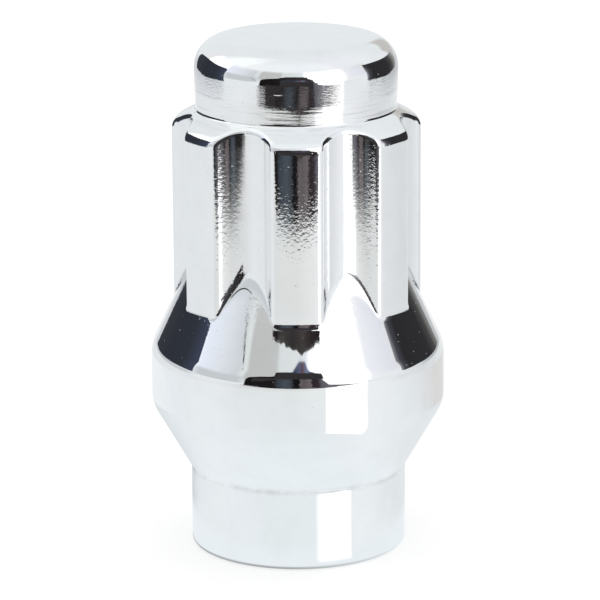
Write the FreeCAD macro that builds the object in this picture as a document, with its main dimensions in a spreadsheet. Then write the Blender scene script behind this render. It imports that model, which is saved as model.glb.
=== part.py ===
"""Chromed wheel lug nut, closed at the top and turned and forged in one piece.

From the top down it has a plain round cap, a column of scalloped splines for the socket key,
a flare that grows out of the column into a wide collar, a 60 degree seat under the collar, and
a shank round the mouth of the blind threaded bore. Millimetres and degrees, +Z up, with the
origin at the middle of the shank's lower face. One land of the splines looks along -Y.
"""

import FreeCAD, Part
import Sketcher

import math
import os

# Driving dimensions
DIMENSIONS = {
    "nut_height": 46.0,
    # the shank, which reaches into the wheel's bolt hole
    "shank_diameter": 19.2,
    "shank_length": 7.2,
    "shank_edge_chamfer": 0.4,
    # the seat, whose angle is measured from side to side of the cone
    "seat_angle": 60.0,
    "seat_edge_radius": 2.4,
    # the collar and the flare above it, whose angle is measured from the axis
    "collar_diameter": 26.1,
    "collar_band": 5.1,
    "collar_edge_radius": 3.5,
    "flare_angle": 25.5,
    "flare_fillet": 1.0,
    # the splines, whose diameter is measured over the lands
    "spline_diameter": 22.0,
    "spline_count": 7,
    "groove_radius": 3.6,
    "groove_depth": 1.56,
    "land_edge_radius": 0.7,
    # the shoulder, whose angle is measured from the horizontal
    "shoulder_angle": 30.0,
    "shoulder_edge_radius": 1.3,
    # the cap
    "cap_diameter": 17.9,
    "cap_height": 6.3,
    "cap_edge_radius": 2.7,
    # the blind bore, cut to the thread's minor diameter, and the countersink at its mouth
    "thread_diameter": 14.0,
    "thread_pitch": 1.5,
    "bore_depth": 36.0,
    "countersink_diameter": 15.0,
    "countersink_angle": 90.0,
}

# Radii and heights that follow from them, as expressions on the sheet
SHANK_R = "(dims.shank_diameter / 2)"
COLLAR_R = "(dims.collar_diameter / 2)"
SPLINE_R = "(dims.spline_diameter / 2)"
CAP_R = "(dims.cap_diameter / 2)"
GROOVE_FLOOR_R = f"({SPLINE_R} - dims.groove_depth)"
GROOVE_CENTRE_R = f"({GROOVE_FLOOR_R} + dims.groove_radius)"
LAND_EDGE_CENTRE_R = f"({SPLINE_R} - dims.land_edge_radius)"
HALF_PITCH = "(180 / dims.spline_count)"
SEAT_TOP = f"(dims.shank_length + ({COLLAR_R} - {SHANK_R}) / tan(dims.seat_angle / 2))"
BAND_TOP = f"({SEAT_TOP} + dims.collar_band)"
# inside the column the flare runs on as far past the groove floors as the grooves are deep
FLARE_CORE_R = f"({GROOVE_FLOOR_R} - dims.groove_depth)"
FLARE_TOP = f"({BAND_TOP} + ({COLLAR_R} - {FLARE_CORE_R}) / tan(dims.flare_angle))"
CAP_FOOT = "(dims.nut_height - dims.cap_height)"
# the forged blank stands above the finished nut by what the cap's edge is rounded
BLANK_TOP = "(dims.nut_height + dims.cap_edge_radius)"
SHOULDER_FOOT = f"({CAP_FOOT} - ({SPLINE_R} - {CAP_R}) * tan(dims.shoulder_angle))"
# a metric internal thread's minor diameter is 1.0825 pitches under its nominal one
BORE_R = "((dims.thread_diameter - 1.0825 * dims.thread_pitch) / 2)"
COUNTERSINK_R = "(dims.countersink_diameter / 2)"
COUNTERSINK_TOP = f"(({COUNTERSINK_R} - {BORE_R}) / tan(dims.countersink_angle / 2))"

# how far a point may lie from where an edge is looked for
REACH = 0.001

doc = FreeCAD.newDocument("lug_nut")
sheet = doc.addObject("Spreadsheet::Sheet", "dims")
for row, (alias, number) in enumerate(DIMENSIONS.items(), start=1):
    sheet.set(f"A{row}", alias)
    sheet.set(f"B{row}", str(number))
    sheet.setAlias(f"B{row}", alias)
doc.recompute()

nut = doc.addObject("PartDesign::Body", "nut")
nut.Label = "lug_nut"


def value_of(expression):
    """The number that an expression on the sheet comes to."""
    return float(sheet.evalExpression(str(expression)))


def origin_part(role):
    """The plane or axis of the body's own origin that has this role."""
    return next(part for part in nut.Origin.OriginFeatures if part.Role == role)


def new_sketch(name, plane):
    """An empty sketch on one of the body's origin planes."""
    sketch = nut.newObject("Sketcher::SketchObject", name)
    sketch.AttachmentSupport = [(origin_part(plane), "")]
    sketch.MapMode = "FlatFace"
    return sketch


def hold(sketch, constraint, expression):
    """Adds a sized constraint to a sketch and binds its size to an expression."""
    sketch.setExpression(f"Constraints[{sketch.addConstraint(constraint)}]", expression)


def half_section(name, corners):
    """A closed outline in the upright plane through the axis.

    It lies on the -Y side, so that the seams of what it turns run down the middle of a land.
    Each corner is (radius, height), or (radius, height, rounding) where it is rounded.
    """
    sketch = new_sketch(name, "XZ_Plane")
    quarter_turn = FreeCAD.Rotation(FreeCAD.Vector(0, 1, 0), -90)
    sketch.AttachmentOffset = FreeCAD.Placement(FreeCAD.Vector(), quarter_turn)
    points = [FreeCAD.Vector(value_of(r), value_of(z), 0) for r, z, *rounding in corners]
    for i, start in enumerate(points):
        sketch.addGeometry(Part.LineSegment(start, points[(i + 1) % len(points)]))
    for i in range(len(points)):
        before = (i - 1) % len(points)
        sketch.addConstraint(Sketcher.Constraint("Coincident", before, 2, i, 1))
    for i, (radius, height, *rounding) in enumerate(corners):
        corner = i
        if rounding:
            # the arc and the kept corner point are the two elements that this adds
            sketch.fillet(i, 1, value_of(rounding[0]), True, True)
            corner = sketch.GeometryCount - 1
            round_off = Sketcher.Constraint("Radius", corner - 1, value_of(rounding[0]))
            hold(sketch, round_off, rounding[0])
        if radius == 0:
            sketch.addConstraint(Sketcher.Constraint("PointOnObject", corner, 1, -2))
        else:
            across = Sketcher.Constraint("DistanceX", -1, 1, corner, 1, points[i].x)
            hold(sketch, across, radius)
        if height == 0:
            sketch.addConstraint(Sketcher.Constraint("PointOnObject", corner, 1, -1))
        else:
            upward = Sketcher.Constraint("DistanceY", -1, 1, corner, 1, points[i].y)
            hold(sketch, upward, height)
    return sketch


def revolve(name, kind, sketch):
    """Turns a half section all the way round the axis, as a Revolution or a Groove."""
    feature = nut.newObject(f"PartDesign::{kind}", name)
    feature.Profile = sketch
    feature.ReferenceAxis = (origin_part("Z_Axis"), [""])
    feature.Angle = 360
    doc.recompute()
    return feature


def edges_of(feature, wanted):
    """The names of a feature's edges whose points, a few along each, are as wanted."""
    return [
        f"Edge{number}"
        for number, edge in enumerate(feature.Shape.Edges, start=1)
        if not edge.Degenerated and wanted(edge.discretize(5))
    ]


def flare_root(points):
    """Picks the closed line where the flare's cone meets the lands and the groove walls."""
    collar_r = value_of(COLLAR_R)
    foot = value_of(BAND_TOP)
    taper = math.tan(math.radians(value_of("dims.flare_angle")))

    def on_cone(p):
        return abs(math.hypot(p.x, p.y) - collar_r + (p.z - foot) * taper) < REACH

    widest = max(math.hypot(p.x, p.y) for p in points)
    return widest < value_of(SPLINE_R) + REACH and all(on_cone(p) for p in points)


def fillet(name, base, wanted, radius):
    """Rounds the edges of the last feature that are as wanted."""
    feature = nut.newObject("PartDesign::Fillet", name)
    feature.Base = (base, edges_of(base, wanted))
    feature.setExpression("Radius", radius)
    doc.recompute()
    return feature


# One sector of the splines: a groove on +Y, its two rounded edges and half a land on each side
sector_section = new_sketch("sector_section", "XY_Plane")
sector_section.setExpression("AttachmentOffset.Base.z", BAND_TOP)
half_pitch = math.radians(value_of(HALF_PITCH))
spline_r = value_of(SPLINE_R)
groove_radius = value_of("dims.groove_radius")
groove_centre_r = value_of(GROOVE_CENTRE_R)
edge_radius = value_of("dims.land_edge_radius")
edge_centre_r = value_of(LAND_EDGE_CENTRE_R)
# the angle from the groove's middle to the centre of its edge's rounding
edge_turn = math.acos(
    (groove_centre_r**2 + edge_centre_r**2 - (groove_radius + edge_radius) ** 2)
    / (2 * groove_centre_r * edge_centre_r)
)


def polar(radius, turn):
    """A point at a radius from the axis, turned clockwise from +Y."""
    return FreeCAD.Vector(radius * math.sin(turn), radius * math.cos(turn), 0)


def arc(centre, start, end):
    """The arc about a centre that runs anticlockwise from one point to another."""
    circle = Part.Circle(centre, FreeCAD.Vector(0, 0, 1), centre.distanceToPoint(start))
    return Part.ArcOfCircle(circle, circle.parameter(start), circle.parameter(end))


centre = FreeCAD.Vector()
groove_centre = polar(groove_centre_r, 0)
right_centre, left_centre = polar(edge_centre_r, edge_turn), polar(edge_centre_r, -edge_turn)
right_foot = groove_centre + (right_centre - groove_centre).normalize() * groove_radius
left_foot = groove_centre + (left_centre - groove_centre).normalize() * groove_radius
RIGHT_SIDE, RIGHT_LAND, RIGHT_EDGE, FLOOR, LEFT_EDGE, LEFT_LAND, LEFT_SIDE = range(7)
sector_section.addGeometry(
    [
        Part.LineSegment(centre, polar(spline_r, half_pitch)),
        arc(centre, polar(spline_r, half_pitch), polar(spline_r, edge_turn)),
        arc(right_centre, polar(spline_r, edge_turn), right_foot),
        arc(groove_centre, left_foot, right_foot),
        arc(left_centre, left_foot, polar(spline_r, -edge_turn)),
        arc(centre, polar(spline_r, -edge_turn), polar(spline_r, -half_pitch)),
        Part.LineSegment(polar(spline_r, -half_pitch), centre),
    ]
)
sector_section.addConstraint(
    [
        Sketcher.Constraint("Coincident", RIGHT_SIDE, 1, -1, 1),
        Sketcher.Constraint("Coincident", LEFT_SIDE, 2, -1, 1),
        Sketcher.Constraint("Coincident", RIGHT_LAND, 3, -1, 1),
        Sketcher.Constraint("Coincident", LEFT_LAND, 3, -1, 1),
        Sketcher.Constraint("Coincident", RIGHT_SIDE, 2, RIGHT_LAND, 1),
        Sketcher.Constraint("Coincident", LEFT_LAND, 2, LEFT_SIDE, 1),
        Sketcher.Constraint("Tangent", RIGHT_LAND, 2, RIGHT_EDGE, 1),
        Sketcher.Constraint("Tangent", RIGHT_EDGE, 2, FLOOR, 2),
        Sketcher.Constraint("Tangent", FLOOR, 1, LEFT_EDGE, 1),
        Sketcher.Constraint("Tangent", LEFT_EDGE, 2, LEFT_LAND, 1),
        Sketcher.Constraint("Equal", RIGHT_LAND, LEFT_LAND),
        Sketcher.Constraint("Equal", RIGHT_EDGE, LEFT_EDGE),
        Sketcher.Constraint("PointOnObject", FLOOR, 3, -2),
    ]
)
for constraint, expression in (
    (Sketcher.Constraint("Radius", RIGHT_LAND, spline_r), SPLINE_R),
    (Sketcher.Constraint("Radius", RIGHT_EDGE, edge_radius), "dims.land_edge_radius"),
    (Sketcher.Constraint("Radius", FLOOR, groove_radius), "dims.groove_radius"),
    (Sketcher.Constraint("DistanceY", -1, 1, FLOOR, 3, groove_centre_r), GROOVE_CENTRE_R),
    (Sketcher.Constraint("Angle", RIGHT_SIDE, 1, -2, 1, half_pitch), HALF_PITCH),
    (Sketcher.Constraint("Angle", -2, 1, LEFT_SIDE, 2, half_pitch), HALF_PITCH),
):
    hold(sector_section, constraint, expression)
sector = nut.newObject("PartDesign::Pad", "sector")
sector.Profile = sector_section
sector.setExpression("Length", f"{BLANK_TOP} - {BAND_TOP}")
doc.recompute()

# The forged column is that sector repeated round the axis
splines = nut.newObject("PartDesign::PolarPattern", "splines")
splines.Originals = [sector]
splines.Axis = (origin_part("Z_Axis"), [""])
splines.Angle = 360
splines.setExpression("Occurrences", "dims.spline_count")
nut.Tip = splines
doc.recompute()

# The cap and the shoulder are turned out of it, which leaves an arched top on each groove
turned_off = half_section(
    "turned_off",
    [
        (SPLINE_R, BAND_TOP),
        (COLLAR_R, BAND_TOP),
        (COLLAR_R, f"({BLANK_TOP} + dims.cap_edge_radius)"),
        (0, f"({BLANK_TOP} + dims.cap_edge_radius)"),
        (0, "dims.nut_height"),
        (CAP_R, "dims.nut_height", "dims.cap_edge_radius"),
        (CAP_R, CAP_FOOT),
        (SPLINE_R, SHOULDER_FOOT, "dims.shoulder_edge_radius"),
    ],
)
column = revolve("column", "Groove", turned_off)

# The shank, the seat, the collar's band and the flare, which fills the foot of each groove
collar_section = half_section(
    "collar_section",
    [
        (0, 0),
        (f"({SHANK_R} - dims.shank_edge_chamfer)", 0),
        (SHANK_R, "dims.shank_edge_chamfer"),
        (SHANK_R, "dims.shank_length"),
        (COLLAR_R, SEAT_TOP, "dims.seat_edge_radius"),
        (COLLAR_R, BAND_TOP, "dims.collar_edge_radius"),
        (FLARE_CORE_R, FLARE_TOP),
        (0, FLARE_TOP),
    ],
)
collar = revolve("collar", "Revolution", collar_section)
flare_fillet = fillet("flare_fillet", collar, flare_root, "dims.flare_fillet")

# The blind bore, flat at its end as the punch leaves it, and the countersink at its mouth
bore_section = half_section(
    "bore_section",
    [
        (0, 0),
        (COUNTERSINK_R, 0),
        (BORE_R, COUNTERSINK_TOP),
        (BORE_R, "dims.bore_depth"),
        (0, "dims.bore_depth"),
    ],
)
before_bore = flare_fillet.Shape.Volume
bore = revolve("bore", "Groove", bore_section)

# Every object has to be sound, and the bore has to have cut, before anything is written
for obj in doc.Objects:
    if "Invalid" in obj.State or "Error" in obj.State:
        raise RuntimeError(f"{obj.Name} did not build: {obj.State}")
if nut.Shape.isNull() or not nut.Shape.isValid() or len(nut.Shape.Solids) != 1:
    raise RuntimeError("lug_nut is not one valid solid")
bore_volume = math.pi * value_of(BORE_R) ** 2 * value_of("dims.bore_depth")
if before_bore - nut.Shape.Volume < bore_volume - REACH:
    raise RuntimeError("the bore did not cut")
if splines.Shape.Volume - column.Shape.Volume < column.Shape.Volume * REACH:
    raise RuntimeError("the cap and the shoulder were not turned")

os.makedirs("parts", exist_ok=True)
nut.Shape.exportStep(f"parts/{nut.Label}.step")
print(f"{nut.Label}: {nut.Shape.Volume:.1f} mm3, box {nut.Shape.BoundBox}")
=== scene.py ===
"""A chromed closed-end lug nut with a scalloped spline drive, standing on a white sheet.

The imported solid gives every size. Its facets are too coarse to mirror a room cleanly, so the
nut is made again here as one smooth closed skin, with the roundings that polishing leaves and
with the thread cut in its bore.
"""

import math

import bmesh
import bpy
from mathutils import Matrix, Vector


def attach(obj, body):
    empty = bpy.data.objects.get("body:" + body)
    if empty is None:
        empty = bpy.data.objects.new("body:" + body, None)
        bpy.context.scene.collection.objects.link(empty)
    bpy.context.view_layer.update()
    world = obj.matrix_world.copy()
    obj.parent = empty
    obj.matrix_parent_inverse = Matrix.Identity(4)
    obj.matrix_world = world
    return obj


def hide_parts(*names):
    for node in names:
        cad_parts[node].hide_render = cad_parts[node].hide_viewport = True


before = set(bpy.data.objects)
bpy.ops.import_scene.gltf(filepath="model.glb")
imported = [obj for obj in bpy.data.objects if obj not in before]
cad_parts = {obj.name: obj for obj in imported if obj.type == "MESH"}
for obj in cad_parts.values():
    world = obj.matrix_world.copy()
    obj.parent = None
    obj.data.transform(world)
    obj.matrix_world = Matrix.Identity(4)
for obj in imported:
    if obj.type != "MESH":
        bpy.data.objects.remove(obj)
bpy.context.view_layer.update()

# Blender's own starting objects have no place here
for name in ("Cube", "Light", "Camera"):
    if name in bpy.data.objects:
        bpy.data.objects.remove(bpy.data.objects[name])

# Everything below is worked out in millimetres and set down in metres
MM = 0.001

# The nut's outline: heights above its end face, and radii
NUT_HEIGHT = 46.0
SHANK_R = 9.6
SHANK_TOP = 7.2
COLLAR_R = 13.05
# the seat's two sides meet at 60 degrees
SEAT_TOP = SHANK_TOP + (COLLAR_R - SHANK_R) / math.tan(math.radians(30))
BAND_TOP = SEAT_TOP + 5.1
FLARE_TAPER = math.tan(math.radians(25.5))
SHOULDER_SLOPE = math.tan(math.radians(30))
CAP_R = 8.95
CAP_FOOT = 39.7
# the cap's side is this much narrower at its foot, and as wide as the cap this far above it
CAP_DRAWN_IN = 0.085
CAP_WIDE_FROM = 1.7
# the countersink at the mouth of the bore
MOUTH_R = 7.5
# a ring on the flat end face, where the skin's columns meet those of the bore
END_FACE_R = 8.4

# The splines: seven lands on a 22 mm circle, with a scalloped groove between each two
LANDS = 7
LAND_R = 11.0
GROOVE_R = 3.6
GROOVE_FLOOR_R = 9.44
LAND_EDGE_R = 0.7
# the skin's columns up the wall of a groove, round its edge and to the middle of the land
WALL_COLUMNS, EDGE_COLUMNS, LAND_COLUMNS = 26, 14, 6

# The bore and its thread
BORE_R = 6.188
THREAD_R = 7.0
PITCH = 1.5
BORE_DEPTH = 36.0
# the thread runs out over the first of these, and the second is plain to the bore's end
RUN_OUT = 2.5
PLAIN_END = 2.0
# a margin for picking out points by their place
MARGIN = 0.1


def groove_wall():
    """Points (turn from a groove's middle, radius) from there to the middle of the next land."""
    centre_r = GROOVE_FLOOR_R + GROOVE_R
    edge_r = LAND_R - LAND_EDGE_R
    edge_turn = math.acos(
        (centre_r**2 + edge_r**2 - (GROOVE_R + LAND_EDGE_R) ** 2) / (2 * centre_r * edge_r)
    )
    # where the groove hands over to the rounded edge of the land
    reach = GROOVE_R / (GROOVE_R + LAND_EDGE_R)
    foot_x = reach * edge_r * math.sin(edge_turn)
    foot_y = centre_r + reach * (edge_r * math.cos(edge_turn) - centre_r)
    swing = math.atan2(foot_x, centre_r - foot_y)
    half = []
    for i in range(WALL_COLUMNS):
        a = swing * i / WALL_COLUMNS
        x, y = GROOVE_R * math.sin(a), centre_r - GROOVE_R * math.cos(a)
        half.append((math.atan2(x, y), math.hypot(x, y)))
    corner_x, corner_y = edge_r * math.sin(edge_turn), edge_r * math.cos(edge_turn)
    start = math.atan2(foot_y - corner_y, foot_x - corner_x)
    end = math.pi / 2 - edge_turn
    for i in range(EDGE_COLUMNS):
        a = start + (end - start) * i / EDGE_COLUMNS
        x = corner_x + LAND_EDGE_R * math.cos(a)
        y = corner_y + LAND_EDGE_R * math.sin(a)
        half.append((math.atan2(x, y), math.hypot(x, y)))
    land_end = math.pi / LANDS
    for i in range(LAND_COLUMNS):
        half.append((edge_turn + (land_end - edge_turn) * i / LAND_COLUMNS, LAND_R))
    half.append((land_end, LAND_R))
    return half


# one more point this close to each end of a rounding keeps the straight runs' shading true
CLOSE_BY = 0.04


def rounded(corners):
    """A polyline through (radius, height, rounding, steps) corners, with each one rounded."""
    points = []
    for i, (r, z, radius, steps) in enumerate(corners):
        here = Vector((r, z))
        if not radius:
            points.append(here)
            continue
        back = (Vector(corners[i - 1][:2]) - here).normalized()
        ahead = (Vector(corners[i + 1][:2]) - here).normalized()
        half_angle = back.angle(ahead) / 2
        run = radius / math.tan(half_angle)
        first, last = here + back * run, here + ahead * run
        centre = here + (back + ahead).normalized() * radius / math.sin(half_angle)
        a0 = math.atan2(*reversed(first - centre))
        a1 = math.atan2(*reversed(last - centre))
        sweep = (a1 - a0 + math.pi) % (2 * math.pi) - math.pi
        points.append(first + back * CLOSE_BY)
        for k in range(steps + 1):
            a = a0 + sweep * k / steps
            points.append(centre + Vector((math.cos(a), math.sin(a))) * radius)
        points.append(last + ahead * CLOSE_BY)
    return points


def outline(wall_r):
    """The nut's outline where the splines' wall stands at this radius, from the end face up."""
    # from 0 at the floor of a groove to 1 on a land
    raised = (wall_r - GROOVE_FLOOR_R) / (LAND_R - GROOVE_FLOOR_R)
    return rounded(
        [
            (END_FACE_R, 0, 0, 0),
            (SHANK_R, 0, 0.45, 6),
            (SHANK_R, SHANK_TOP, 0.3, 4),
            (COLLAR_R, SEAT_TOP, 2.6, 8),
            (COLLAR_R, BAND_TOP, 3.8, 12),
            (wall_r, BAND_TOP + (COLLAR_R - wall_r) / FLARE_TAPER, 6.0 - 4.6 * raised, 16),
            (wall_r, CAP_FOOT - (wall_r - CAP_R) * SHOULDER_SLOPE, 0.7 + 0.6 * raised**2, 14),
            (CAP_R - CAP_DRAWN_IN, CAP_FOOT, 0.3, 5),
            (CAP_R, CAP_FOOT + CAP_WIDE_FROM, 9.0, 5),
            (CAP_R, NUT_HEIGHT, 2.7, 20),
            # rings on the flat top, and its middle
            (4.0, NUT_HEIGHT, 0, 0),
            (0.5, NUT_HEIGHT, 0, 0),
            (0, NUT_HEIGHT, 0, 0),
        ]
    )


def sheet_of(name, columns, rows, place):
    """A grid primitive with each vertex put where place(column, row) says, in millimetres."""
    bpy.ops.mesh.primitive_grid_add(x_subdivisions=columns, y_subdivisions=rows, size=1)
    piece = bpy.context.object
    piece.name = name
    flat = []
    for row in range(rows + 1):
        for column in range(columns + 1):
            flat.extend(c * MM for c in place(column, row))
    piece.data.vertices.foreach_set("co", flat)
    piece.data.update()
    return piece


bpy.ops.object.select_all(action="DESELECT")

# the skin's columns, as (turn round the nut, radius of the splines' wall)
half_spline = groove_wall()
turns = []
for spline in range(LANDS):
    middle = math.pi / LANDS + spline * 2 * math.pi / LANDS
    for turn, radius in reversed(half_spline[1:]):
        turns.append((middle - turn, radius))
    for turn, radius in half_spline[:-1]:
        turns.append((middle + turn, radius))
outlines = {}
for _, radius in turns:
    key = round(radius, 6)
    if key not in outlines:
        outlines[key] = outline(radius)


def on_skin(column, row):
    """The place of a point of the skin, from the end face up to the middle of the cap."""
    turn, radius = turns[column % len(turns)]
    r, z = outlines[round(radius, 6)][row]
    # a land looks along -Y
    return r * math.sin(turn), -r * math.cos(turn), z


rows = len(outlines[round(LAND_R, 6)]) - 1
nut = sheet_of("chromed_nut", len(turns), rows, on_skin)

# the thread's columns round the bore, and its rows, which follow the helix
AROUND = 72
# how far up one turn each of its eight rows lies, and how deep it is cut there
CUT = ((0.0, 0.0), (0.25, 0.0), (0.27, 0.064), (0.54, 0.936), (0.5625, 1.0), (0.6875, 1.0),
       (0.71, 0.936), (0.98, 0.064))
thread_rows = (int(BORE_DEPTH / PITCH) + 3) * len(CUT)
# where on its turn the thread starts
THREAD_START = 0.4


def on_thread(column, row):
    """The place of a point of the bore's wall, with its right-handed thread."""
    lift, cut = CUT[row % len(CUT)]
    z = (row // len(CUT) - 1 + lift + column / AROUND - THREAD_START) * PITCH
    fade = min(1.0, max(0.0, (BORE_DEPTH - PLAIN_END - z) / RUN_OUT))
    r = BORE_R + (THREAD_R - BORE_R) * cut * fade
    z = min(max(z, 0.0), BORE_DEPTH)
    r = max(r, MOUTH_R - z)
    if z == BORE_DEPTH:
        r = BORE_R
    turn = 2 * math.pi * column / AROUND
    return r * math.sin(turn), -r * math.cos(turn), z


bore = sheet_of("bore", AROUND, thread_rows, on_thread)

bpy.ops.object.select_all(action="DESELECT")
bore.select_set(True)
nut.select_set(True)
bpy.context.view_layer.objects.active = nut
bpy.ops.object.join()
bpy.ops.object.mode_set(mode="EDIT")
bpy.ops.mesh.select_all(action="SELECT")
bpy.ops.mesh.remove_doubles(threshold=1e-6)
# a disc ends the bore
bpy.ops.mesh.select_all(action="DESELECT")
bpy.ops.mesh.select_mode(type="EDGE")
mesh = bmesh.from_edit_mesh(nut.data)
for edge in mesh.edges:
    edge.select = edge.is_boundary and edge.verts[0].co.z > (BORE_DEPTH - MARGIN) * MM
bmesh.update_edit_mesh(nut.data)
bpy.ops.mesh.edge_face_add()


def turn_of(vertex):
    """How far round the nut a vertex is, from the middle of the front land."""
    return math.atan2(vertex.co.x, -vertex.co.y) % (2 * math.pi)


# the flat end face: its outer ring has far more points than the mouth of the bore has
mesh = bmesh.from_edit_mesh(nut.data)
rim = sorted({v for e in mesh.edges if e.is_boundary for v in e.verts}, key=turn_of)
outer = [v for v in rim if v.co.to_2d().length > (MOUTH_R + MARGIN) * MM]
inner = [v for v in rim if v.co.to_2d().length <= (MOUTH_R + MARGIN) * MM]
o = i = 0
while o < len(outer) or i < len(inner):
    here, there = outer[o % len(outer)], inner[i % len(inner)]
    if i == len(inner) or (o < len(outer) and o * len(inner) <= i * len(outer)):
        o += 1
        mesh.faces.new((here, outer[o % len(outer)], there))
    else:
        i += 1
        mesh.faces.new((here, inner[i % len(inner)], there))
bmesh.update_edit_mesh(nut.data)
bpy.ops.mesh.select_all(action="SELECT")
bpy.ops.mesh.normals_make_consistent(inside=False)
bpy.ops.object.mode_set(mode="OBJECT")
# only the mouth of the bore, the thread and the end face have edges sharper than this
bpy.ops.object.shade_smooth_by_angle(angle=math.radians(40))
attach(nut, "root")
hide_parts("lug_nut")


def tone(red, green, blue):
    """A colour as a screen shows it, from 0 to 255, as the linear colour that Blender takes."""
    return [
        ((c / 255 + 0.055) / 1.055) ** 2.4 if c > 10 else c / 3294.6 for c in (red, green, blue)
    ] + [1]


class Tree:
    """A shader tree that is written down node by node."""

    def __init__(self, tree):
        self.tree = tree
        self.tree.nodes.clear()

    def node(self, kind, inputs=(), **settings):
        """A node with its settings, and with each input set to a value or linked to a socket."""
        made = self.tree.nodes.new("ShaderNode" + kind)
        for key, value in settings.items():
            setattr(made, key, value)
        for key, value in dict(inputs).items():
            if isinstance(value, bpy.types.NodeSocket):
                self.tree.links.new(value, made.inputs[key])
            else:
                made.inputs[key].default_value = value
        return made

    def math(self, operation, *values):
        """One step of arithmetic on numbers or sockets."""
        return self.node("Math", enumerate(values), operation=operation).outputs[0]

    def times(self, first, *others):
        """All of these, multiplied."""
        for other in others:
            first = self.math("MULTIPLY", first, other)
        return first

    def plus(self, first, second):
        """The sum of two."""
        return self.math("ADD", first, second)

    def minus(self, first, second):
        """The first less the second."""
        return self.math("SUBTRACT", first, second)

    def rise(self, value, low, high):
        """0 below low and 1 above high, or the other way round when low is the larger."""
        return self.node("MapRange", {"Value": value, "From Min": low, "From Max": high}).outputs[0]

    def band(self, value, low, high, soft):
        """1 where the value lies between low and high, with soft ends."""
        start = self.rise(value, low - soft, low + soft)
        return self.times(start, self.rise(value, high + soft, high - soft))

    def ramp(self, value, stops):
        """A colour ramp through (value, colour) stops."""
        low, high = stops[0][0], stops[-1][0]
        made = self.node("ValToRGB", {"Fac": self.rise(value, low, high)})
        ends = made.color_ramp.elements
        for i, (at, colour) in enumerate(stops):
            at = (at - low) / (high - low)
            stop = ends[i] if i < 2 else ends.new(at)
            stop.position = at
            stop.color = colour if len(colour) == 4 else tone(*colour)
        return made.outputs[0]

    def follow(self, value, stops):
        """A number from 0 to 100 that follows (value, number) stops."""
        shares = [(at, (number / 100, number / 100, number / 100, 1)) for at, number in stops]
        return self.times(self.ramp(value, shares), 100)

    def noise(self, spot, scale, detail, roughness=0.5):
        """A cloudy height from 0 to 1, in lumps of about 1 / scale millimetres."""
        given = {"Vector": spot, "Scale": scale, "Detail": detail, "Roughness": roughness}
        return self.node("TexNoise", given).outputs[0]

    def mix(self, share, first, second):
        """The first colour, with this share of the second."""
        made = self.node("Mix", data_type="RGBA")
        for socket, value in ((0, share), (6, first), (7, second)):
            if isinstance(value, bpy.types.NodeSocket):
                self.tree.links.new(value, made.inputs[socket])
            else:
                made.inputs[socket].default_value = value
        return made.outputs[2]

    def blend(self, share, first, second):
        """The first shader, with this share of the second."""
        return self.node("MixShader", {0: share, 1: first, 2: second}).outputs[0]

    def place(self):
        """Object coordinates in millimetres: the vector, then its x, y and z."""
        spot = self.node("TexCoord").outputs["Object"]
        spot = self.node("VectorMath", {0: spot, "Scale": 1 / MM}, operation="SCALE").outputs[0]
        return spot, *self.node("SeparateXYZ", {0: spot}).outputs

    def turn(self, x, y):
        """Degrees round the nut from the camera's side, growing towards the right."""
        return self.math("DEGREES", self.math("ARCTAN2", x, self.times(y, -1)))

    def away(self, x, y):
        """Millimetres from the nut's axis."""
        return self.math("SQRT", self.plus(self.times(x, x), self.times(y, y)))


WHITE = (1.0, 1.0, 1.0, 1.0)
# brighter than white, so that the chrome shows it white
GLARE = (1.25, 1.25, 1.25, 1.0)
# the chrome takes a little of the light, so what it mirrors is this much brighter
MIRRORED = 1.06

# What stands round the nut: a white tent, which only the chrome sees
world = bpy.data.worlds.new("white_tent")
bpy.context.scene.world = world
world.use_nodes = True
sky = Tree(world.node_tree)
x, y, z = sky.node("SeparateXYZ", {0: sky.node("TexCoord").outputs["Generated"]}).outputs
turn = sky.turn(x, y)
lift = sky.math("DEGREES", sky.math("ARCSINE", z))
# its walls, near the horizon
walls = sky.ramp(
    turn,
    [
        (-180, GLARE), (-172, (250, 251, 252)), (-158, (240, 241, 242)), (-146, (218, 221, 224)),
        (-110, (228, 232, 236)), (-60, (232, 237, 240)), (-12, (229, 234, 237)),
        (14, (233, 238, 240)), (21, GLARE), (53, GLARE), (60, (237, 240, 243)),
        (84, (230, 234, 237)), (110, (222, 226, 228)), (140, (224, 228, 230)),
        (165, (238, 240, 242)), (180, GLARE),
    ],
)
# its side panels, from 8 to 38 degrees up
panels = sky.ramp(
    turn,
    [
        (-180, (226, 231, 233)), (-131, (229, 230, 231)), (-126, GLARE), (-92, GLARE),
        (-88, (231, 238, 250)), (-79, (227, 232, 242)), (-68, (222, 227, 233)),
        (-58, (211, 216, 222)), (-51, (205, 209, 213)), (-47, (219, 224, 224)),
        (-44, (219, 224, 224)), (-43, (190, 192, 191)), (-17.5, (190, 192, 191)),
        (-16.5, (213, 218, 219)), (-4, (217, 221, 221)), (8, (228, 233, 238)), (11, GLARE),
        (55, GLARE), (61, (236, 238, 243)), (84, (222, 224, 232)), (92, (224, 223, 214)),
        (100, (233, 237, 240)), (150, (226, 230, 232)), (180, (226, 231, 233)),
    ],
)
# its top, from there up, and plain right overhead
overhead = sky.ramp(
    turn,
    [
        (-180, (226, 231, 233)), (-130, (228, 231, 234)), (-112, (251, 255, 255)),
        (-75, (251, 255, 255)), (-68, (240, 243, 246)), (-50, (240, 244, 246)),
        (0, (236, 241, 244)), (40, (240, 244, 247)), (46, (243, 246, 249)),
        (60, (236, 238, 243)), (110, (233, 237, 240)), (180, (226, 231, 233)),
    ],
)
# each goes over softly into the one above it
seen = sky.mix(sky.rise(lift, 4, 12), walls, panels)
seen = sky.mix(sky.rise(lift, 34, 42), seen, overhead)
seen = sky.mix(sky.rise(lift, 60, 84), seen, tone(229, 233, 236))
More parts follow.
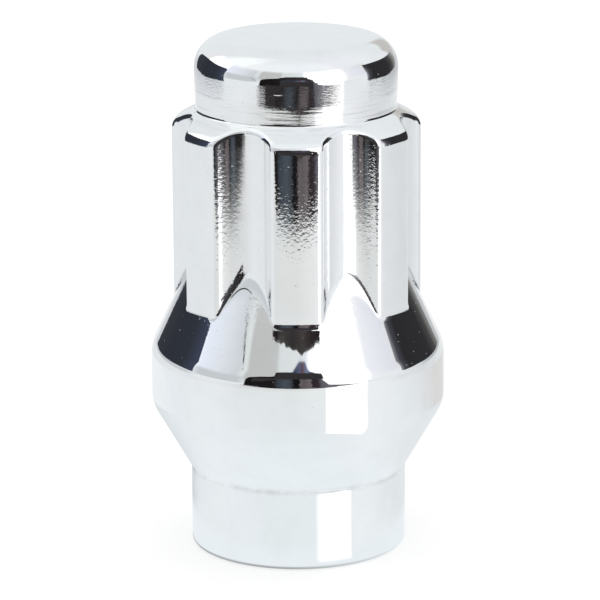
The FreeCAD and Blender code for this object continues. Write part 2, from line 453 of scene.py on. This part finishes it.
# painted shade along the floor line on the left, the backdrop behind, and its brown side on the
# right
floor_line_shade = sky.times(sky.band(turn, -88, -44, 4), sky.band(lift, -3, 15, 3))
seen = sky.mix(floor_line_shade, seen, tone(196, 201, 204))
behind = sky.math("MAXIMUM", sky.band(turn, 150, 200, 10), sky.band(turn, -200, -150, 10))
seen = sky.mix(sky.times(behind, sky.band(lift, -3, 40, 1)), seen, tone(227, 232, 234))
brown_side = sky.times(sky.band(turn, 146, 170, 2), sky.band(lift, 1, 23, 2))
seen = sky.mix(brown_side, seen, tone(194, 192, 189))
path = sky.node("LightPath")
plain = sky.node("Background", {"Color": WHITE, "Strength": 1.0}).outputs[0]
mirrored = sky.node("Background", {"Color": seen, "Strength": MIRRORED}).outputs[0]
both = sky.blend(path.outputs["Is Glossy Ray"], plain, mirrored)
sky.node("OutputWorld", {"Surface": both})

# The dark upright things that show through the tent's open front, by their turn
columns = bpy.data.node_groups.new("front_columns", "ShaderNodeTree")
columns.interface.new_socket("Turn", in_out="INPUT", socket_type="NodeSocketFloat")
columns.interface.new_socket("Colour", in_out="OUTPUT", socket_type="NodeSocketColor")
inside = Tree(columns)
given = columns.nodes.new("NodeGroupInput").outputs["Turn"]
waver = inside.noise(inside.place()[0], 0.06, 3.0)
given = inside.plus(given, inside.times(inside.minus(waver, 0.5), 6.0))
stripe = inside.ramp(
    given,
    [
        (-44, (22, 20, 22)), (-17, (30, 28, 28)), (-15.5, (58, 64, 71)), (-9, (72, 79, 86)),
        (-4, (58, 63, 69)), (-3.4, (20, 20, 22)), (0.6, (22, 20, 22)), (1.4, (104, 97, 99)),
        (5, (92, 86, 88)), (9.6, (110, 103, 105)), (10.6, (46, 38, 42)), (15.5, (52, 46, 50)),
        (17, (92, 92, 99)), (25, (108, 107, 112)), (31, (88, 88, 96)), (34, (48, 42, 44)),
        (44, (22, 20, 22)),
    ],
)
columns.links.new(stripe, columns.nodes.new("NodeGroupOutput").inputs["Colour"])


def front_columns(tree, turn):
    """The colour of those uprights at this turn, in the tree of a material."""
    made = tree.tree.nodes.new("ShaderNodeGroup")
    made.node_tree = columns
    tree.tree.links.new(turn, made.inputs["Turn"])
    return made.outputs["Colour"]


def card(name, uprights, colour_of, share_of=None):
    """A card that only the chrome sees, through upright pairs of (foot, top) in millimetres.

    It is solid, or else seen only from its front, and there by the share that share_of gives.
    """
    made = sheet_of(name, len(uprights) - 1, 1, lambda column, row: uprights[column][row])
    for sight in ("camera", "diffuse", "shadow", "transmission", "volume_scatter"):
        setattr(made, f"visible_{sight}", False)
    paint = bpy.data.materials.new(name)
    paint.use_nodes = True
    tree = Tree(paint.node_tree)
    light = tree.node("Emission", {"Color": colour_of(tree), "Strength": 1.0}).outputs[0]
    if share_of:
        front = tree.minus(1.0, tree.node("NewGeometry").outputs["Backfacing"])
        share = tree.times(front, share_of(tree))
        clear = tree.node("BsdfTransparent").outputs[0]
        light = tree.blend(share, clear, light)
    tree.node("OutputMaterial", {"Surface": light})
    made.data.materials.append(paint)


def upright(turn, distance, foot, top):
    """The foot and top of a card at this turn and distance from the axis."""
    turn = math.radians(turn)
    x, y = distance * math.sin(turn), -distance * math.cos(turn)
    return (x, y, foot), (x, y, top)


def in_front(distance, rows):
    """The feet and tops of a card this far in front of the axis, by rows of (x, foot, top)."""
    return [((x, -distance, foot), (x, -distance, top)) for x, foot, top in rows]


def by_turn(*stops):
    """A card's colour, by (turn, colour) stops."""

    def colour_of(tree):
        _, x, y, _ = tree.place()
        return tree.ramp(tree.turn(x, y), stops)

    return colour_of


# the two dark boards beside the tent, by turn, distance, foot and top
card(
    "left_board",
    [upright(*row) for row in (
        (-85.6, 140, 21, 90), (-88, 140, 20, 101), (-105, 140, 19, 98),
        (-118, 150, 16, 100), (-128, 190, 12, 109), (-137, 270, 6, 121), (-147, 350, 2, 110),
        (-151, 380, 60, 77),
    )],
    by_turn((-151, (58, 60, 66)), (-120, (47, 50, 58)), (-100, (48, 52, 60)), (-88, (60, 66, 84))),
)
card(
    "right_board",
    [upright(*row) for row in (
        (84.4, 140, 21, 92), (88, 140, 19, 128), (95, 140, 19, 122),
        (105, 140, 19, 114), (115, 150, 16, 108), (125, 180, 14, 108), (135, 260, 9, 118),
        (145, 340, 5, 116), (155, 380, 45, 91),
    )],
    by_turn(
        (84.4, (158, 159, 164)), (86, (112, 113, 119)), (88, (70, 70, 78)), (94, (44, 44, 46)),
        (125, (48, 47, 50)), (136, (74, 74, 74)), (146, (140, 140, 138)), (155, (206, 207, 206)),
    ),
)
# the tent's open front, by turn and by how many degrees its top is above the cap's side
FRONT_DISTANCE = 240
CAP_SIDE = 42
card(
    "open_front",
    [
        upright(
            turn, FRONT_DISTANCE, -60, CAP_SIDE + FRONT_DISTANCE * math.tan(math.radians(rise))
        )
        for turn, rise in (
            (-41, -9), (-40, 5), (-38, 10), (-35, 12), (-29, 14.5), (-22, 16), (-16, 19),
            (-12, 22), (8, 22), (12, 17), (17, 12), (20, 4), (23, -5), (34, -8), (44, -9.5),
        )
    ],
    lambda tree: front_columns(tree, tree.turn(*tree.place()[1:3])),
)


def by_x(*stops):
    """A card's colour, by (x, colour) stops."""
    return lambda tree: tree.ramp(tree.place()[1], stops)


# two dark fittings close in front, of which the upper one has a ragged foot and a bowed top
card(
    "upper_fitting",
    in_front(30, [(x, foot, 36.2 + 0.012 * x * x) for x, foot in (
        (-11.0, 37.2), (-10.7, 35.9), (-9.8, 35.6), (-8.9, 35.1), (-7.6, 35.0), (-6.6, 34.6),
        (-5.4, 34.7), (-4.6, 34.1), (-3.1, 34.0), (-1.8, 33.6), (-0.4, 33.6), (0.7, 33.2),
        (1.6, 33.0), (2.5, 33.4), (3.9, 33.6), (5.2, 33.9), (6.4, 34.2), (7.3, 34.8), (8.8, 34.9),
        (9.6, 36.5),
    )]),
    by_x(
        (-11, (34, 30, 32)), (-8.5, (34, 30, 32)), (-7, (66, 64, 62)), (-2, (50, 48, 48)),
        (2, (66, 62, 60)), (5, (46, 40, 42)), (9, (34, 28, 30)),
    ),
)
card(
    "lower_fitting",
    in_front(60, (
        (-39, 24, 34), (-38.6, 25, 37.2), (-33, 26, 36.2), (-28, 27, 35.8), (-20, 30, 35.6),
        (-16, 32, 36.5), (-15.4, 33, 48), (-12.8, 33, 51), (-9, 33, 50.6), (-3.9, 33, 52.2),
        (1, 33, 53.4), (6, 33, 53.5), (8, 33, 52.6), (10.6, 33, 52.4), (14, 33, 49.4),
        (18.2, 33, 48.2), (19.5, 33, 40),
    )),
    lambda tree: tree.mix(
        tree.rise(tree.place()[3], 48, 50.5),
        tone(52, 49, 50),
        by_x(
            (-16, (26, 26, 30)), (-8, (44, 46, 56)), (-2, (60, 68, 88)), (1, (84, 94, 120)),
            (4, (96, 74, 84)), (7, (112, 124, 150)), (11, (70, 74, 92)), (16, (120, 96, 106)),
            (19.5, (74, 64, 72)),
        )(tree),
    ),
)

# a dark rail behind them, which only the foot of the land shows
card(
    "far_rail",
    in_front(100, ((-31, 60, 78), (-26, 60, 79.3), (22, 60, 79.3))),
    by_x((-31, (36, 34, 36)), (-20, (46, 44, 46)), (22, (56, 52, 52))),
)


def strip_share(tree):
    """Soft at the strip's left edge and foot, and less so at its right edge."""
    _, x, y, z = tree.place()
    turn = tree.turn(x, y)
    left = tree.rise(tree.plus(turn, tree.times(z, 0.214)), 10.2, 14.0)
    right = tree.rise(tree.plus(turn, tree.times(z, 0.63)), 34.0, 32.8)
    return tree.times(left, right, tree.rise(z, 0.02, 0.5))


# a painted highlight: this card glows brighter than white, lights nothing and only the chrome sees
# it
# a white strip that leans on the shank's top edge, and is clear to the seat above it: from 10 to
# 34.4 degrees round at its foot, and from 8.6 to 30 degrees at its top
STRIP_STEPS = 8
card(
    "leaning_strip",
    [
        (
            upright(10.0 + 24.4 * step / STRIP_STEPS, 11.2, 0, 0)[0],
            upright(8.6 + 21.4 * step / STRIP_STEPS, 9.72, 7, 7)[0],
        )
        for step in reversed(range(STRIP_STEPS + 1))
    ],
    by_x((-1, GLARE), (1, GLARE)),
    strip_share,
)
# the dotted seam in the tent, left of the open front
card(
    "tent_seam",
    [upright(turn, 60, z - 0.9, z + 0.9) for turn, z in (
        (-48.4, 54.6), (-47.6, 53.5), (-46.3, 52), (-45.2, 51), (-44.2, 50.3), (-43.2, 49.2),
        (-42.2, 47),
    )],
    lambda tree: tree.ramp(
        tree.noise(tree.place()[0], 1.6, 1.0), ((0.50, (70, 72, 76)), (0.58, (215, 219, 219)))
    ),
)

# The white sheet that the nut stands on
bpy.ops.object.select_all(action="DESELECT")
bpy.ops.mesh.primitive_plane_add(size=6, location=(0, 0, 0))
sheet = bpy.context.object
sheet.name = "white_sheet"
paper = bpy.data.materials.new("white_sheet")
paper.use_nodes = True
tree = Tree(paper.node_tree)
_, x, y, _ = tree.place()
turn, away = tree.turn(x, y), tree.away(x, y)
# its tones beside the nut and farther away, by turn
near = tree.ramp(
    turn,
    [
        (-180, GLARE), (-170, (248, 249, 249)), (-156, (236, 238, 240)), (-145, (217, 221, 224)),
        (-130, (220, 225, 229)), (-108, (227, 232, 236)), (-84, (232, 237, 239)),
        (-60, (232, 237, 240)), (-24, (228, 234, 236)), (14, (229, 235, 237)),
        (52, (236, 240, 242)), (84, (230, 235, 236)), (108, (225, 229, 231)),
        (145, (225, 230, 232)), (170, (232, 236, 238)), (180, GLARE),
    ],
)
far = tree.ramp(
    turn,
    [
        (-180, GLARE), (-165, (240, 240, 240)), (-150, (224, 227, 229)), (-108, (225, 229, 232)),
        (-60, (229, 231, 233)), (-40, (219, 221, 221)), (0, (221, 223, 222)), (14, (231, 232, 232)),
        (24, (238, 240, 241)), (52, (238, 240, 242)), (62, (236, 238, 240)), (84, (223, 225, 227)),
        (110, (215, 218, 220)), (140, (222, 225, 226)), (165, (240, 240, 240)), (180, GLARE),
    ],
)
# farthest away it lies in shade at both sides
shade = tree.ramp(
    turn,
    [
        (-180, (222, 224, 226)), (-140, (197, 200, 205)), (-96, (200, 204, 208)),
        (-84, (229, 234, 236)), (86, (232, 234, 236)), (93, (220, 222, 226)),
        (107, (212, 215, 219)), (118, (187, 191, 195)), (130, (177, 181, 185)),
        (142, (184, 187, 190)), (180, (222, 224, 226)),
    ],
)
# round the foot of the nut it is one plain tone
colour = tree.mix(tree.rise(away, 17, 13), near, tone(233, 239, 242))
colour = tree.mix(tree.rise(away, 50, 100), colour, far)
# where the band shows it, the sheet is lighter on the left and a warmer grey on the right
between = tree.band(away, 44, 80, 4)
lighter = tree.times(between, tree.band(turn, -160, -110, 15))
colour = tree.mix(tree.times(lighter, 0.75), colour, tone(240, 244, 246))
warmer = tree.times(between, tree.band(turn, 112, 155, 12))
colour = tree.mix(tree.times(warmer, 0.65), colour, tone(212, 209, 206))
colour = tree.mix(tree.rise(away, 205, 218), colour, shade)
# painted contact shadow: a dark ring on the sheet round the shank's rounded foot
painted_contact_shadow = tree.times(tree.rise(away, 10.2, 9.6), tree.rise(away, 9.2, 9.4))
painted_contact_shadow = tree.times(painted_contact_shadow, tree.rise(tree.math("ABSOLUTE", tree.plus(turn, 50)), 125, 45))
colour = tree.mix(tree.times(painted_contact_shadow, 0.85), colour, tone(150, 152, 154))
# a white strip of light, whose sides run out from a point 6 mm in front of the axis
strip_turn = tree.turn(x, tree.plus(y, 6))
strip_end = tree.plus(away, tree.times(strip_turn, 0.4))
strip = tree.times(tree.rise(strip_end, 46, 49.5), tree.band(strip_turn, 21.8, 54.4, 1.0))
colour = tree.mix(strip, colour, GLARE)
# past its front edge the sheet lets the open front show, as far to each side as the cap shows it
leftward = tree.follow(
    away,
    [(180, 44), (190, 44), (196, 29), (207, 29), (222, 44), (236, 44), (246, 40)],
)
rightward = tree.follow(
    away,
    [
        (180, 29), (190, 29), (196, 38), (204, 39), (208, 45), (217.5, 46), (219.5, 24), (223, 24),
        (226, 50), (250, 50), (270, 24),
    ],
)
open_side = tree.times(
    tree.rise(tree.plus(turn, leftward), -0.5, 0.5),
    tree.rise(tree.minus(turn, rightward), 0.5, -0.5),
)
past_edge = tree.times(tree.rise(y, -137, -139), open_side)
# farther out its uprights show a little further to the right
moved = tree.minus(turn, tree.times(tree.rise(away, 180, 198), 3.2))
colour = tree.mix(past_edge, colour, front_columns(tree, moved))
path = tree.node("LightPath")
matt = tree.node("BsdfDiffuse", {"Color": (0.5, 0.5, 0.5, 1)}).outputs[0]
# the glow takes the sheet to white, and leaves the nut's shadow on it
glow = tree.node("Emission", {"Color": WHITE, "Strength": 0.58}).outputs[0]
paper_seen = tree.node("AddShader", {0: matt, 1: glow}).outputs[0]
mirrored = tree.node("Emission", {"Color": colour, "Strength": MIRRORED}).outputs[0]
clear = tree.node("BsdfTransparent").outputs[0]
shown = tree.blend(path.outputs["Is Glossy Ray"], paper_seen, mirrored)
# from below the sheet is clear
back = tree.node("NewGeometry").outputs["Backfacing"]
shown = tree.blend(back, shown, clear)
tree.node("OutputMaterial", {"Surface": shown})
sheet.data.materials.append(paper)

# Bright chrome plate on polished steel
chrome = bpy.data.materials.new("chrome_plate")
chrome.use_nodes = True
tree = Tree(chrome.node_tree)
spot, x, y, z = tree.place()
away = tree.away(x, y)
# the orange peel that the plating leaves on the forged splines, coarser at the lands' edges
peel = tree.noise(spot, 3.2, 2.0, 0.6)
coarse = tree.plus(1.0, tree.times(tree.band(away, 10.15, 10.93, 0.12), 1.6))
peel = tree.times(peel, coarse, tree.band(z, 22, 39, 1.5))
# the turning marks round the foot of the cap
drawn_out = tree.node("CombineXYZ", {0: tree.times(x, 0.05), 2: z}).outputs[0]
rings = tree.noise(drawn_out, 4.0, 3.0)
fainter = tree.times(tree.band(z, 41.3, 43.0, 0.5), 0.2)
turned = tree.plus(tree.band(z, 39.5, 41.3, 0.5), fainter)
hairlines = tree.times(tree.rise(rings, 0.44, 0.37), turned)
rings = tree.times(rings, turned)
# the scuffed side of the cap, and a nick in it
pressed = tree.node("VectorMath", {0: spot, 1: (1.0, 1.0, 3.5)}, operation="MULTIPLY").outputs[0]
scuff = tree.noise(pressed, 2.2, 3.0, 0.65)
scuff = tree.times(scuff, tree.band(z, 40.8, 43.5, 0.5))
nick = tree.times(tree.band(z, 42.54, 42.62, 0.07), tree.band(x, -2.0, -1.1, 0.3))
scuff = tree.plus(scuff, tree.times(nick, 2.2))
# the metal leans outward a little above the front's left arch, and has a faint fold below that
left_of = tree.plus(tree.turn(x, y), 30.5)
lean = tree.times(
    tree.rise(tree.minus(z, tree.times(left_of, 0.34)), 27.5, 27.1),
    tree.rise(tree.minus(z, tree.times(left_of, 0.25)), 26.0, 26.4),
)
lean = tree.times(lean, tree.band(left_of, -8.5, 1.1, 0.6))
grain = tree.noise(spot, 4.5, 2.0)
lean = tree.times(lean, tree.rise(grain, 0.36, 0.44))
arc = tree.times(tree.math("POWER", tree.minus(left_of, 2.6), 2), 0.0205)
fold = tree.band(tree.plus(z, arc), 25.37, 25.55, 0.05)
fold = tree.times(fold, tree.band(left_of, -4.5, 7.4, 0.8))
# pinholes in the plating
pits = tree.noise(spot, 3.6, 1.0)
pits = tree.times(tree.rise(pits, 0.76, 0.80), tree.band(z, 16, 44, 1))
# a darker line round the corner between the seat and the shank, and a smear of dirt at the left
blotch = tree.noise(spot, 0.45, 4.0, 0.65)
darker_marks = tree.times(tree.band(z, 7.0, 7.45, 0.2), tree.rise(blotch, 0.38, 0.62))
smear = tree.times(tree.band(tree.turn(x, y), -86, -75, 7), tree.band(z, 3.6, 8.2, 1.2))
smear = tree.times(smear, tree.rise(blotch, 0.40, 0.58))
darker_marks = tree.math("MINIMUM", tree.plus(tree.times(darker_marks, 0.3), tree.times(smear, 0.5)), 1.0)
darker_marks = tree.plus(darker_marks, tree.times(tree.rise(blotch, 0.42, 0.70), 0.06))
darker_marks = tree.plus(darker_marks, tree.times(hairlines, 0.3))
# the bore isn't plated
bare = tree.times(tree.rise(away, 7.75, 7.55), tree.rise(z, 36.4, 36.2))
finish = tree.mix(darker_marks, (0.94, 0.945, 0.95, 1), (0.42, 0.41, 0.40, 1))
finish = tree.mix(bare, finish, (0.36, 0.35, 0.34, 1))
# the grooves keep some of the forging's grain under the plate
groove = tree.times(tree.rise(away, 10.7, 10.2), tree.band(z, 23.5, 38.3, 0.8))
rough = tree.plus(tree.times(darker_marks, 0.3), tree.times(bare, 0.25))
rough = tree.plus(rough, tree.times(groove, 0.07))


def relief(height, depth, **under):
    """How the surface faces where a height of 0 to 1 raises it by up to a depth in millimetres."""
    given = {"Height": height, "Strength": 1.0, "Distance": depth * MM, **under}
    return tree.node("Bump", given).outputs[0]


surface = relief(peel, 0.004)
surface = relief(rings, 0.013, Normal=surface)
surface = relief(scuff, 0.0045, Normal=surface)
# a pinhole goes inwards
surface = relief(pits, -0.008, Normal=surface)
# how far the lean and the fold turn the surface upwards and to the right
upwards = tree.minus(tree.times(lean, 0.08), tree.times(fold, 0.13))
tilted = tree.node("CombineXYZ", {0: tree.times(fold, 0.11), 2: upwards}).outputs[0]
surface = tree.node("VectorMath", {0: surface, 1: tilted}, operation="ADD").outputs[0]
surface = tree.node("VectorMath", {0: surface}, operation="NORMALIZE").outputs[0]
metal = tree.node(
    "BsdfPrincipled",
    {
        "Base Color": finish,
        "Metallic": 1.0,
        "Roughness": tree.plus(0.03, rough),
        "Normal": surface,
    },
).outputs[0]
tree.node("OutputMaterial", {"Surface": metal})
nut.data.materials.clear()
nut.data.materials.append(chrome)

# The camera, as the photograph was taken: its focal length and shift in pixels of a picture
# this wide, its distance in millimetres, and its tilt down and its roll
PICTURE = 600
FOCAL_LENGTH = 3574.5
SHIFT = (2.6, 2.7)
LOOK_AT = Vector((0, 0, 21.866)) * MM
DISTANCE = 318.289
TILT = math.radians(15.024)
ROLL = math.radians(-0.35)
lens = bpy.data.cameras.new("camera")
lens.sensor_width = 36
lens.lens = FOCAL_LENGTH * lens.sensor_width / PICTURE
lens.shift_x, lens.shift_y = (shift / PICTURE for shift in SHIFT)
lens.clip_start = 0.01
camera = bpy.data.objects.new("camera", lens)
bpy.context.collection.objects.link(camera)
camera.location = LOOK_AT + DISTANCE * MM * Vector((0, -math.cos(TILT), math.sin(TILT)))
aim = (LOOK_AT - camera.location).to_track_quat("-Z", "Y").to_matrix().to_4x4()
roll = Matrix.Rotation(ROLL, 4, "Z")
camera.matrix_world = Matrix.Translation(camera.location) @ aim @ roll
bpy.context.scene.camera = camera
bpy.context.scene.view_settings.view_transform = "Standard"
